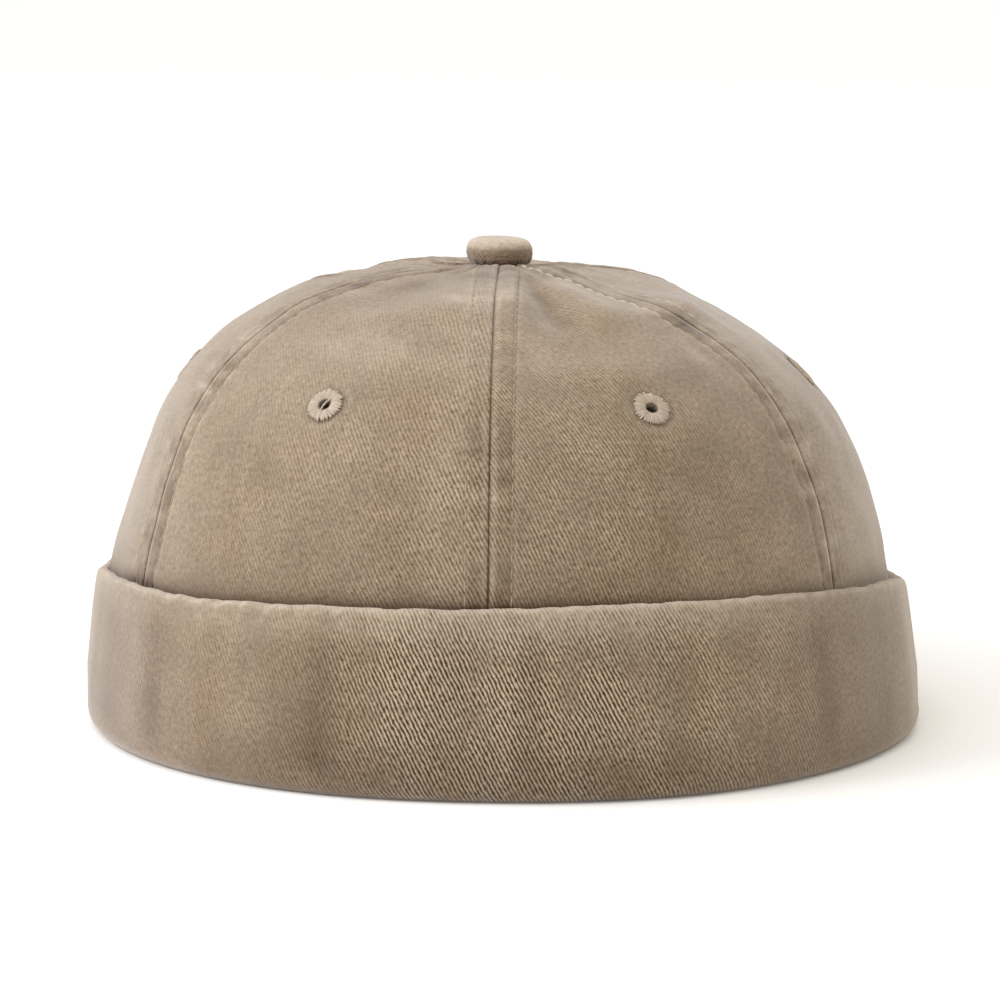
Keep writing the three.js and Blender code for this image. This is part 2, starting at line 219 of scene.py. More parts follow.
def selectOnly(piece):
    bpy.ops.object.select_all(action="DESELECT")
    piece.select_set(True)
    bpy.context.view_layer.objects.active = piece


def finishPiece(piece, material, replaced=()):
    selectOnly(piece)
    bpy.ops.object.shade_smooth()
    piece.data.materials.clear()
    piece.data.materials.append(material)
    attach(piece, "root")
    if replaced:
        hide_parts(*replaced)


# Turns an outline in the XZ plane about Z into a closed piece
def spinPiece(name, outline, steps):
    mesh = bpy.data.meshes.new(name)
    edges = [(i, i + 1) for i in range(len(outline) - 1)]
    mesh.from_pydata([(x * mm, 0, z * mm) for x, z in outline], edges, [])
    piece = bpy.data.objects.new(name, mesh)
    bpy.context.scene.collection.objects.link(piece)
    selectOnly(piece)
    bpy.ops.object.mode_set(mode="EDIT")
    bpy.ops.mesh.select_all(action="SELECT")
    bpy.ops.mesh.spin(steps=steps, angle=math.tau, center=(0, 0, 0), axis=(0, 0, 1), use_auto_merge=True)
    bpy.ops.mesh.select_all(action="SELECT")
    bpy.ops.mesh.remove_doubles(threshold=0.02 * mm)
    bpy.ops.mesh.normals_make_consistent(inside=False)
    bpy.ops.object.mode_set(mode="OBJECT")
    return piece


# Washed cotton twill: a soft matt cloth whose steep diagonal ribs are paler than the lines between them,
# with uneven yarns, faded patches, paler edges that are partly wear and partly painted highlight, and painted shade.
twill = {
    "rib": "#dfcbaf",
    "groove": "#452b12",
    # pale: the colour of worn places and of painted highlights
    "pale": "#cebfab",
    # deep: the colour of painted shade and of darker wash stains
    "deep": "#442c13",
    "ribAngle": 22.0,
    "ribSpacing": 0.83,
    "ribDepth": 0.16,
    "contrast": 1.0,
    "mean": 0.34,
    "ribFrom": 0.95,
    "yarnWidth": 0.4,
    "yarnLength": 0.95,
    "patchSize": 26.0,
    "streaks": 0.22,
    "mottle": 0.13,
    "sheen": 0.64,
    "turn": {"front_left": -3, "side_left": 4, "back_left": -6, "back_right": 5, "side_right": -4,
             "front_right": 11},
}
cuffTwist = {"ribAngle": 28.5, "ribSpacing": 0.87, "ribDepth": 0.24, "contrast": 1.4, "yarnLength": 1.2,
             "ribFrom": 1.02}


def clothMaterial(name, cloth):
    made = bpy.data.materials.new(name)
    made.use_nodes = True
    tree = made.node_tree
    tree.nodes.clear()
    uv = addNode(tree, "ShaderNodeUVMap", {"uv_map": "cloth"}).outputs["UV"]
    place = addNode(tree, "ShaderNodeTexCoord").outputs["Object"]
    waver = addNode(tree, "ShaderNodeTexNoise", {"Scale": 1000 / 5, "Detail": 3.0}, {"Vector": uv})
    bent = addNode(tree, "ShaderNodeVectorMath", {"operation": "MULTIPLY_ADD", 1: (0.0009, 0.0009, 0)},
                   {0: waver.outputs["Color"], 2: uv})
    turn = -math.radians(cloth["ribAngle"])
    ribbed = addNode(tree, "ShaderNodeMapping", {"Rotation": (0, 0, turn)}, {"Vector": bent.outputs[0]})
    rib = addNode(tree, "ShaderNodeTexWave", {"Scale": math.tau / 20 / (cloth["ribSpacing"] * mm)},
                  {"Vector": ribbed.outputs[0]})
    stretch = (1 / (cloth["yarnWidth"] * mm), 1 / (cloth["yarnLength"] * mm), 1)
    yarnPlace = addNode(tree, "ShaderNodeMapping", {"Scale": stretch}, {"Vector": ribbed.outputs[0]})
    yarn = addNode(tree, "ShaderNodeTexNoise", {"Scale": 1.0, "Detail": 3.0, "Roughness": 0.65},
                   {"Vector": yarnPlace.outputs[0]})
    relief = addNode(tree, "ShaderNodeMath", {"operation": "MULTIPLY_ADD", 1: 1.8},
                     {0: yarn.outputs[0], 2: rib.outputs["Fac"]})
    tone = addNode(tree, "ShaderNodeMapRange", {1: cloth["ribFrom"], 2: 1.85}, {0: relief.outputs[0]})
    weave = addNode(tree, "ShaderNodeAttribute", {"attribute_name": "weave"})
    rubbed = addNode(tree, "ShaderNodeTexNoise", {"Scale": 1000 / 11, "Detail": 4.0}, {"Vector": place})
    kept = addNode(tree, "ShaderNodeMapRange", {1: 0.35, 2: 0.6, 3: 0.55, 4: cloth["contrast"]},
                   {0: rubbed.outputs[0]})
    strength = addNode(tree, "ShaderNodeMath", {"operation": "MULTIPLY"},
                       {0: weave.outputs["Fac"], 1: kept.outputs[0]})
    ribTone = addNode(tree, "ShaderNodeMix", {2: cloth["mean"]}, {0: strength.outputs[0], 3: tone.outputs[0]})
    grain = addNode(tree, "ShaderNodeTexNoise", {"Scale": 1000 / 1.1, "Detail": 3.0, "Roughness": 0.75},
                    {"Vector": uv})
    evened = addNode(tree, "ShaderNodeMath", {"operation": "SUBTRACT", 1: 0.5}, {0: grain.outputs[0]})
    rough = addNode(tree, "ShaderNodeMath", {"operation": "MULTIPLY_ADD", 1: 1.0, 2: 0.6},
                    {0: strength.outputs[0]})
    spread = addNode(tree, "ShaderNodeMath", {"operation": "MULTIPLY"},
                     {0: evened.outputs[0], 1: rough.outputs[0]})
    mottled = addNode(tree, "ShaderNodeMath", {"operation": "ADD", "use_clamp": True},
                      {0: ribTone.outputs[0], 1: spread.outputs[0]})
    colour = addNode(tree, "ShaderNodeMix", {"data_type": "RGBA", 6: toLinear(cloth["groove"]),
                     7: toLinear(cloth["rib"])}, {0: mottled.outputs[0]}).outputs[2]

    patches = addNode(tree, "ShaderNodeTexNoise", {"Scale": 1000 / cloth["patchSize"], "Detail": 4.0,
                      "Roughness": 0.6}, {"Vector": place})
    pink = addNode(tree, "ShaderNodeMapRange", {1: 0.5, 2: 0.75, 4: 0.2}, {0: patches.outputs[0]})
    colour = addNode(tree, "ShaderNodeMix", {"data_type": "RGBA", "blend_type": "MULTIPLY",
                     7: toLinear("#f6e2d4")}, {0: pink.outputs[0], 6: colour}).outputs[2]
    green = addNode(tree, "ShaderNodeMapRange", {1: 0.5, 2: 0.25, 4: 0.35}, {0: patches.outputs[0]})
    colour = addNode(tree, "ShaderNodeMix", {"data_type": "RGBA", "blend_type": "MULTIPLY",
                     7: toLinear("#eee2c0")}, {0: green.outputs[0], 6: colour}).outputs[2]
    wash = addNode(tree, "ShaderNodeMapping", {"Scale": (1000 / 9, 1000 / 80, 1)}, {"Vector": uv})
    washed = addNode(tree, "ShaderNodeTexNoise", {"Scale": 1.0, "Detail": 3.0}, {"Vector": wash.outputs[0]})
    streak = addNode(tree, "ShaderNodeMapRange", {1: 0.45, 2: 0.75, 4: cloth["streaks"]},
                     {0: washed.outputs[0]})
    colour = addNode(tree, "ShaderNodeMix", {"data_type": "RGBA", "blend_type": "MULTIPLY",
                     7: toLinear("#c9b79c")}, {0: streak.outputs[0], 6: colour}).outputs[2]

    mottle = addNode(tree, "ShaderNodeTexNoise", {"Scale": 1000 / 11, "Detail": 6.0, "Roughness": 0.68},
                     {"Vector": place})
    uneven = addNode(tree, "ShaderNodeMapRange", {1: 0.3, 2: 0.7, 3: 1 - cloth["mottle"], 4: 1 + cloth["mottle"]},
                     {0: mottle.outputs[0]})
    colour = addNode(tree, "ShaderNodeVectorMath", {"operation": "SCALE"},
                     {0: colour, "Scale": uneven.outputs[0]}).outputs[0]
    specks = addNode(tree, "ShaderNodeTexNoise", {"Scale": 1000 / 1.3, "Detail": 2.0}, {"Vector": uv})
    # paler where the cloth is worn, plus painted highlights on lit edges, pucker ridges and the button's top
    wornAndLit = addNode(tree, "ShaderNodeAttribute", {"attribute_name": "wornAndLit"})
    wornAndLitSpecks = addNode(tree, "ShaderNodeMapRange", {1: 0.35, 2: 0.65, 3: 0.55, 4: 1.0},
                         {0: specks.outputs[0]})
    wornAndLitShare = addNode(tree, "ShaderNodeMath", {"operation": "MULTIPLY"},
                        {0: wornAndLit.outputs["Fac"], 1: wornAndLitSpecks.outputs[0]})
    colour = addNode(tree, "ShaderNodeMix", {"data_type": "RGBA", 7: toLinear(cloth["pale"])},
                     {0: wornAndLitShare.outputs[0], 6: colour}).outputs[2]
    # painted shade in seams, grooves, folds, above the cuff's rim and under the button, with darker wash stains,
    # mixed towards the deep colour
    shade = addNode(tree, "ShaderNodeAttribute", {"attribute_name": "shade"})
    colour = addNode(tree, "ShaderNodeMix", {"data_type": "RGBA", 7: toLinear(cloth["deep"])},
                     {0: shade.outputs["Fac"], 6: colour}).outputs[2]

    fuzz = addNode(tree, "ShaderNodeTexNoise", {"Scale": 1000 / 0.35, "Detail": 1.0}, {"Vector": uv})
    nap = addNode(tree, "ShaderNodeBump", {"Strength": 0.7, "Distance": 0.08 * mm}, {"Height": fuzz.outputs[0]})
    raised = addNode(tree, "ShaderNodeMath", {"operation": "MULTIPLY"},
                     {0: relief.outputs[0], 1: strength.outputs[0]})
    ribs = addNode(tree, "ShaderNodeBump", {"Strength": 0.8, "Distance": cloth["ribDepth"] * mm},
                   {"Height": raised.outputs[0], "Normal": nap.outputs[0]})
    surface = addNode(tree, "ShaderNodeBsdfPrincipled", {
        "Roughness": 0.92, "Specular IOR Level": 0.25, "Sheen Weight": cloth["sheen"],
        "Sheen Roughness": 0.45, "Sheen Tint": toLinear("#f9f4f1")},
                      {"Base Color": colour, "Normal": ribs.outputs[0]})
    addNode(tree, "ShaderNodeOutputMaterial", links={"Surface": surface.outputs[0]})
    return made


# Mercerised cotton thread: smoother and a little brighter than the cloth, with fine twisted plies
thread = {"light": "#d5c8b7", "dark": "#8f7c67", "plySpacing": 0.3}


def threadMaterial(name, yarn):
    made = bpy.data.materials.new(name)
    made.use_nodes = True
    tree = made.node_tree
    tree.nodes.clear()
    uv = addNode(tree, "ShaderNodeUVMap", {"uv_map": "cloth"}).outputs["UV"]
    pale = addNode(tree, "ShaderNodeAttribute", {"attribute_name": "pale"})
    lay = addNode(tree, "ShaderNodeMapping", {"Rotation": (0, 0, math.radians(35))}, {"Vector": uv})
    plies = addNode(tree, "ShaderNodeTexWave", {"Scale": math.tau / 20 / (yarn["plySpacing"] * mm),
                    "Distortion": 0.6}, {"Vector": lay.outputs[0]})
    place = addNode(tree, "ShaderNodeTexCoord").outputs["Object"]
    dust = addNode(tree, "ShaderNodeTexNoise", {"Scale": 1000 / 1.4, "Detail": 2.0}, {"Vector": place})
    mixed = addNode(tree, "ShaderNodeMath", {"operation": "MULTIPLY_ADD", 1: 0.35},
                    {0: plies.outputs["Fac"], 2: pale.outputs["Fac"]})
    share = addNode(tree, "ShaderNodeMath", {"operation": "MULTIPLY_ADD", 1: 0.4, 2: -0.2},
                    {0: dust.outputs[0]})
    total = addNode(tree, "ShaderNodeMath", {"operation": "ADD", "use_clamp": True},
                    {0: mixed.outputs[0], 1: share.outputs[0]})
    colour = addNode(tree, "ShaderNodeMix", {"data_type": "RGBA", 6: toLinear(yarn["dark"]),
                     7: toLinear(yarn["light"])}, {0: total.outputs[0]})
    bump = addNode(tree, "ShaderNodeBump", {"Strength": 0.6, "Distance": 0.05 * mm},
                   {"Height": plies.outputs["Fac"]})
    surface = addNode(tree, "ShaderNodeBsdfPrincipled", {"Roughness": 0.7, "Specular IOR Level": 0.3,
                      "Sheen Weight": 0.1}, {"Base Color": colour.outputs[2], "Normal": bump.outputs[0]})
    addNode(tree, "ShaderNodeOutputMaterial", links={"Surface": surface.outputs[0]})
    return made


panelTwill = clothMaterial("washed_cotton_twill", twill)
cuffTwill = clothMaterial("washed_cotton_twill_cuff", twill | cuffTwist)
buttonTwill = clothMaterial("washed_cotton_twill_button", twill | {"ribAngle": 96.0, "ribSpacing": 0.7,
                            "streaks": 0.0, "ribDepth": 0.06})
cottonThread = threadMaterial("mercerised_cotton_thread", thread)
print("materials made")


# Cuff: its rim's height as a share, and the room behind it at the bottom fold and at the rim
cuff = {
    "height": 40.4,
    "thickness": 2.3,
    "innerThickness": 2.2,
    "foldEase": 1.8,
    "rimEase": 0.9,
    "foldDepth": 3.2,
    "outerRadius": 3.4,
    "innerRadius": 1.2,
    "restWidth": 0.6,
    "joinGap": 0.3,
    "columns": 440,
    "edge": [
        (0, 1.0, 1.0, 0.75), (22, 1.018, 0.95, 0.75), (45, 0.99, 0.83, 0.9), (60, 0.936, 1.3, 1.3),
        (75, 0.884, 1.95, 1.8), (90, 0.768, 1.7, 2.0), (105, 0.716, 1.55, 1.8), (130, 0.75, 1.3, 1.3),
        (155, 0.81, 1.0, 1.0), (180, 0.84, 1.0, 0.9), (205, 0.835, 0.95, 0.9), (230, 0.82, 0.75, 0.9),
        (255, 0.79, 0.5, 0.75), (270, 0.795, 0.45, 0.7), (285, 0.885, 0.5, 0.7),
        (300, 0.915, 0.6, 0.8), (318, 0.944, 0.75, 0.8), (340, 0.986, 0.97, 0.75), (360, 1.0, 1.0, 0.75),
    ],
    # darker streaks down the cuff, partly wash streaks and partly painted shade where the light falls off: azimuth,
    # half width, depth of colour
    "streaks": [(-66, 12, 0.4), (-49, 1.8, 0.4), (-23, 8, 0.24), (-21, 2.2, 0.2), (-12, 8, 0.12), (-3, 5, 0.12), (5.5, 2.0, 0.28),
                (13.5, 4, 0.16),
                (24, 2.5, 0.15), (48, 2.2, 0.3), (96, 3, 0.3), (140, 2.4, 0.3), (172, 2, 0.25), (205, 3, 0.3), (250, 2.5, 0.3)],
}


def rimHeight(azimuth):
    return cuff["height"] * readTable(cuff["edge"], 1, np.mod(azimuth, 360))


def cuffPoint(azimuth, height, out):
    along = np.linspace(0, 0.5, 400)
    rise = crown["joinHeight"] + crownAt(1, along) * (crown["height"] - crown["joinHeight"])
    at = np.interp(np.maximum(height, crown["joinHeight"]), rise, along)
    width = crownAt(2, at) * ovalReach(azimuth, crownAt(5, at))
    across, ahead = np.sin(np.radians(azimuth)), np.cos(np.radians(azimuth))
    lean = crownAt(3, at) * crown["halfWidth"] * across**2
    return np.stack([(crown["halfWidth"] * width + out) * across + lean,
                     -(crown["halfDepth"] * width + out) * ahead, height], -1)


def arcPoints(centreOut, centreHeight, radius, low, high, steps):
    angles = [math.radians(low + (high - low) * i / steps) for i in range(steps + 1)]
    return [(centreOut + radius * math.cos(a), centreHeight + radius * math.sin(a)) for a in angles]


# The cuff's section at an azimuth, from the join down, round the fold and up to the rim
def cuffSection(azimuth):
    top = float(rimHeight(azimuth))
    lowEase = cuff["foldEase"] * float(readTable(cuff["edge"], 2, azimuth))
    highEase = cuff["rimEase"] * float(readTable(cuff["edge"], 3, azimuth))
    hem, outer = cuff["thickness"] / 2, lowEase + cuff["thickness"]
    level = cuff["innerRadius"] - cuff["innerThickness"]
    fold = min(cuff["outerRadius"], outer - level - cuff["restWidth"])
    join = crown["joinHeight"] - cuff["joinGap"]
    path = [(-cuff["innerThickness"], join - (join - cuff["innerRadius"]) * i / 8) for i in range(8)]
    path += arcPoints(level, cuff["innerRadius"], cuff["innerRadius"], 180, 270, 6)
    path += arcPoints(outer - fold, fold, fold, 270, 360, 10)
    for i in range(1, 30):
        height = fold + (top - hem - fold) * i / 30
        path.append((lowEase + (highEase - lowEase) * height / top + cuff["thickness"], height))
    path += arcPoints(highEase + hem, top - hem, hem, 0, 180, 12)
    for i in range(1, 10):
        height = top - hem + (cuff["foldDepth"] - top + hem) * i / 10
        path.append((lowEase + (highEase - lowEase) * height / top, height))
    path += [(lowEase, cuff["foldDepth"]), (0, cuff["foldDepth"])]
    path += [(0, cuff["foldDepth"] + (join - cuff["foldDepth"]) * i / 5) for i in range(1, 6)]
    return path


def makeCuff():
    azimuth = np.arange(cuff["columns"]) * 360 / cuff["columns"]
    path = np.array([cuffSection(a) for a in azimuth]).transpose(1, 0, 2)
    out, height = path[..., 0], path[..., 1]
    around = np.broadcast_to(azimuth, out.shape)
    bare = cuffPoint(around, height, out)
    rim = rimHeight(around)
    outward = smoothStep(out, 0.2, 1.5) * smoothStep(height, 1.0, 9.0)
    # soft ripples that run up the cuff, a rim that is never quite straight, and a wavy fold
    upright = bare * np.array([1, 1, 0.22])
    ripple = 0.5 * lumps(upright, 24, 3.1) + 0.1 * lumps(upright, 9, 8.4)
    ragged = 0.22 * lumps(bare * np.array([1, 1, 0]), 5, 1.7) + 0.12 * lumps(bare * np.array([1, 1, 0]), 1.5, 5.2)
    nearRim = smoothStep(height, rim - 5, rim - 0.5)
    points = cuffPoint(around, height + ragged * nearRim, out + outward * ripple * (1 - 0.5 * nearRim))
    points = np.concatenate([points, points[:1]])
    step = np.linalg.norm(np.diff(points, axis=0), axis=-1)
    climb = np.concatenate([np.zeros((1, cuff["columns"])), np.cumsum(step, 0)])
    climb = np.concatenate([climb, climb[:, :1]], 1)
    outside = points[30]
    girth = float(np.linalg.norm(np.roll(outside, -1, 0) - outside, axis=-1).sum())
    ribPitch = cuffTwist["ribSpacing"] / math.cos(math.radians(cuffTwist["ribAngle"]))
    girth = round(girth / ribPitch) * ribPitch  # whole ribs go round, so the weave meets at the back
    u = np.broadcast_to(np.linspace(0, girth, cuff["columns"] + 1), climb.shape)
    # marks on the cloth: wear and wash streaks, with painted highlights and painted shade
    patches = 0.5 + 0.5 * lumps(bare, 14, 2.2)
    fine = 0.5 + 0.5 * lumps(bare, 2.5, 6.6)
    isOuter = out > 0.4
    # a paler rim: partly wear, partly a painted highlight along the lit top edge
    wornAndLit = bell(height, rim - 0.2, 1.0) * (0.35 + 0.5 * fine) * isOuter
    wornAndLit += 0.3 * bell(height, rim - 2.5, 2.5) * fine * patches + 0.2 * bell(height, 0.8, 1.6) * fine
    wornAndLit += 0.55 * bell(height, rim - 2, 5) * (0.4 + 0.6 * fine) * bell(np.mod(around + 180, 360) - 180, 6, 46) * isOuter
    shade = np.zeros_like(height)
    for middle, wide, depth in cuff["streaks"]:
        turn = np.mod(around - middle + 180, 360) - 180
        wander = turn + 1.2 * (patches - 0.5)
        ends = smoothStep(height, 2, 9) * (1 - 0.75 * smoothStep(height, rim - 10, rim - 2))
        shade += depth * bell(wander, 0, wide) * ends * (0.5 + 0.5 * patches)
    # painted shade in the slot behind the cuff's outer limb
    inSlot = (out < 0.9 * cuff["thickness"]) & (height > cuff["foldDepth"] - 0.1) & (height < rim - 1.2)
    shade = np.where(inSlot, 0.6, shade)
    turn = np.mod(around + 180, 360) - 180
    weave = 0.08 + 0.92 * bell(turn, -2, np.where(turn < -2, 16, 30)) + 0.27 * smoothStep(np.abs(turn), 68, 95)
    # painted shade: darker towards the bottom, across the front, and on the right side, away from the light
    front = 1 - smoothStep(np.abs(turn), 60, 100)
    low = (1 - smoothStep(height, 0, 18)) * (1 - 0.85 * smoothStep(np.abs(turn), 22, 52))
    shade += (0.37 * low + 0.12 * front + 0.25 * bell(turn, 58, 14)) * isOuter
    marks = {"wornAndLit": np.clip(wornAndLit, 0, 1), "shade": np.clip(shade, 0, 0.9), "weave": weave}
    marks = {key: np.concatenate([value, value[:1]]) for key, value in marks.items()}
    piece = sheetObject("turned_up_cuff", points, np.stack([u, climb], -1), marks, ring=True)
    selectOnly(piece)
    bpy.ops.object.mode_set(mode="EDIT")
    bpy.ops.mesh.select_all(action="SELECT")
    bpy.ops.mesh.remove_doubles(threshold=0.01 * mm)
    bpy.ops.object.mode_set(mode="OBJECT")
    finishPiece(piece, cuffTwill, ["cuff"])
    return piece


# Panels: columns crowd towards the seams, where the relief is finest
panel = {
    "rows": 190,
    "middleColumns": 46,
    "fromSeam": [0.03, 0.18, 0.4, 0.7, 1.2, 2.0, 2.9, 3.7, 4.3, 4.6, 4.9, 5.2, 5.6, 6.3],
    "stitchColumn": 10,
    "tipRadius": 2.1,
    "eyeletAlong": 0.52,
    "eyeletHole": 1.9,
    # paler and darker places, partly wash marks and partly painted highlights and painted shade on folds, edges and
    # dips: azimuth, along, half width, half height, pale (+) or dark (-)
    "washAndPaintedLightMarks": [
        (-11, 0.84, 8, 0.03, 0.7), (7, 0.84, 5, 0.03, 0.6), (19, 0.87, 6, 0.03, -0.3),
        (19, 0.82, 4, 0.03, -0.35), (19.5, 0.765, 4, 0.04, -0.45), (0, 0.93, 60, 0.035, -0.5),
        (32, 0.77, 6, 0.03, 0.5),
        (36, 0.88, 8, 0.02, 0.4), (-35, 0.87, 14, 0.03, -0.3), (57, 0.72, 6, 0.03, -0.45), (50, 0.78, 6, 0.02, 0.3),
        (-60, 0.2, 9, 0.2, 0.15), (30, 0.35, 14, 0.16, -0.12), (48, 0.63, 2.5, 0.05, 0.4),
        (44, 0.62, 5, 0.1, -0.2), (8, 0.5, 4, 0.2, 0.12), (-7, 0.35, 3, 0.25, 0.12),
        (52, 0.3, 3, 0.2, -0.16), (-40, 0.62, 16, 0.2, 0.12), (62, 0.72, 6, 0.04, 0.3),
        (150, 0.5, 14, 0.2, 0.15), (200, 0.6, 12, 0.2, -0.15), (120, 0.7, 8, 0.1, 0.2),
        (-22, 0.665, 18, 0.045, 0.32), (36, 0.67, 18, 0.05, 0.2), (46, 0.53, 16, 0.05, 0.22),
        (7, 0.44, 6, 0.05, -0.2), (-12, 0.27, 6, 0.05, -0.1), (6, 0.27, 5, 0.05, -0.12),
        (78, 0.75, 8, 0.03, -0.35), (74, 0.57, 12, 0.07, 0.25), (76, 0.15, 11, 0.08, 0.3),
    ],
}
# where the cloth stands off the solids by more or less: azimuth, along, half width, half height, lift
swells = [(122, 0.83, 24, 0.09, -0.9), (108, 0.66, 12, 0.05, 0.5), (-113, 0.86, 12, 0.05, -0.8),
          (-155, 0.93, 22, 0.035, 0.7), (19, 0.81, 4, 0.08, -0.9), (31, 0.79, 6, 0.06, 0.5), (8, 0.84, 5, 0.05, 0.4),
          (57, 0.87, 17, 0.06, -1.1)]
stitchLines = {}


def makePanel(index):
    low, high = index, index + 1
    name = crown["seams"][index][2]
    reach = np.linspace(0, 1, 2000)
    tip = float(np.interp(-panel["tipRadius"] / crown["halfWidth"], -crownAt(2, reach), reach))
    along = np.linspace(0, tip, panel["rows"] + 1)
    share = np.linspace(0, 1, 121)
    start, end = seamAzimuth(low, along)[:, None], seamAzimuth(high, along)[:, None]
    probe = crownPoint(start + (end - start) * share, along[:, None])
    measured = np.linalg.norm(np.diff(probe, axis=1), axis=-1)
    measured = np.concatenate([np.zeros((len(along), 1)), np.cumsum(measured, 1)], 1)
    width = measured[:, -1:]
    near = np.array(panel["fromSeam"])
    squeeze = np.minimum(1, width / (2 * near[-1] + 0.9))
    middle = np.linspace(0, 1, panel["middleColumns"] + 2)[1:-1]
    left = near * squeeze
    inner = left[:, -1:] + (width - 2 * left[:, -1:]) * middle
    across = np.concatenate([left, inner, width - left[:, ::-1]], 1)
    azimuth = np.array([np.interp(across[i], measured[i], (start + (end - start) * share)[i])
                        for i in range(len(along))])
    upward = np.broadcast_to(along[:, None], azimuth.shape)
    bare = crownPoint(azimuth, upward)
    normals = gridNormals(bare)
    climb = np.linalg.norm(np.diff(bare[:, azimuth.shape[1] // 2], axis=0), axis=-1)
    climb = np.concatenate([[0], np.cumsum(climb)])[:, None]

    # relief in millimetres
    toSeam = np.minimum(across, width - across) / squeeze
    seamNumber = np.where(across < width / 2, low, high % 6)
    fromTop = np.hypot(bare[..., 0] - crown["topOffset"], bare[..., 1])
    turn = np.mod(azimuth + 180, 360) - 180
    quiet = np.where(seamNumber == 0, 0.4, 1.0)  # the front seam lies flatter than the others
    rolled = -0.42 * bell(toSeam, 0, 0.34) * (0.3 + 0.7 * smoothStep(fromTop, 8, 25)) * np.where(seamNumber == 0, 0.4, 0.85)
    band = 0.17 * smoothStep(toSeam, 0.5, 1.3) * (1 - smoothStep(toSeam, 4.3, 5.1))
    row = -0.13 * bell(toSeam, 4.9, 0.42)
    alongSeam = np.broadcast_to(climb, azimuth.shape)
    ripplePlace = np.stack([alongSeam / 3.4, toSeam / 11, seamNumber * 3.7], -1)
    ripples = lumps(ripplePlace, 1.0, 4.4)
    puckers = 0.34 * quiet * ripples * smoothStep(toSeam, 0.3, 2.5) * np.exp(-np.maximum(toSeam - 4, 0) / 5)
    lumpy = 0.5 * lumps(bare, 26, 1.3) + 0.2 * lumps(bare, 10, 9.1)
    around = np.stack([np.radians(azimuth) * 7, fromTop / 16, np.zeros_like(azimuth)], -1)
    gathers = 0.4 * lumps(around, 1.0, 2.7) * bell(fromTop, 13, 9)
    seat = crownPoint((seamAzimuth(low, panel["eyeletAlong"]) + seamAzimuth(high, panel["eyeletAlong"])) / 2,
                      panel["eyeletAlong"])
    fromEyelet = np.linalg.norm(bare - seat, axis=-1)
    pulled = -0.3 * bell(fromEyelet, 4.6, 1.3)
    calm = smoothStep(fromEyelet, 3.5, 9) * smoothStep(fromTop, 8, 14)
    frontal = 1 - smoothStep(np.abs(turn), 45, 85)
    lifted = 1.8 * bell(fromTop, 7.5, 9) * smoothStep(fromTop, 3, 8) * (0.35 + 0.65 * frontal)
    lifted += 0.9 * foldOut(azimuth, upward) * frontal
    for spot, at, wide, tall, lift in swells:
        lifted += lift * bell(np.mod(azimuth - spot + 180, 360) - 180, 0, wide) * bell(upward, at, tall)
    relief = rolled + (band + row) * smoothStep(fromTop, 5, 9) + puckers * calm + lumpy * calm + gathers + pulled + lifted
    points = bare + normals * relief[..., None]
    inner = bare + normals * (relief - rolled - crown["clothThickness"])[..., None]

    # marks on the cloth: wear and wash stains, with painted highlights and painted shade
    fine = 0.5 + 0.5 * lumps(bare, 2.2, 6.1)
    wornAndLit = 0.4 * bell(toSeam, 1.0, 0.5) * fine + 0.3 * bell(toSeam, 5.7, 0.5) * fine
    # pucker ridges painted lighter as highlights
    wornAndLit += 0.4 * quiet * smoothStep(ripples, 0.2, 0.9) * np.exp(-np.maximum(toSeam - 4, 0) / 3.5)
    wornAndLit += 0.25 * bell(fromEyelet, 5.2, 0.8) * fine
    blotches = smoothStep(lumps(ripplePlace, 1.6, 9.4), -0.1, 0.7)
    dotted = (0.55 - 0.25 * smoothStep(fromTop, 20, 60)) * (1 - blotches)
    # painted shade in the seam's gap, in dots near the top, and in the stitch rows' grooves, over a slight darkening
    # all over
    shade = 0.06 + 0.94 * bell(toSeam, 0, 0.26) * (1 - dotted) + 0.14 * bell(toSeam, 4.9, 0.4) * (0.3 + blotches)
    shade += 0.3 * smoothStep(toSeam, 0.8, 2) * (1 - smoothStep(toSeam, 4, 5)) * (0.12 + 1.2 * blotches) * (0.4 + 0.6 * quiet)
    # pucker hollows painted darker as shade
    shade += 0.3 * quiet * smoothStep(-ripples, 0.2, 0.9) * np.exp(-np.maximum(toSeam - 4, 0) / 3.5)
    # painted shadow round the eyelet, in the cloth's pulled dip
    shade += 0.3 * bell(fromEyelet, 4.3, 0.7)
    # painted shade on the crown just above the cuff's rim, lighter on the right
    aboveRim = np.maximum(bare[..., 2] - rimHeight(azimuth), 0)
    shade += (0.45 * np.exp(-aboveRim / 1.6) + 0.25 * np.exp(-aboveRim / 10)) * (1 - 0.75 * smoothStep(turn, 5, 45))
    # painted shade in the dip round the button
    shade += 0.35 * bell(fromTop, 8, 2.4)
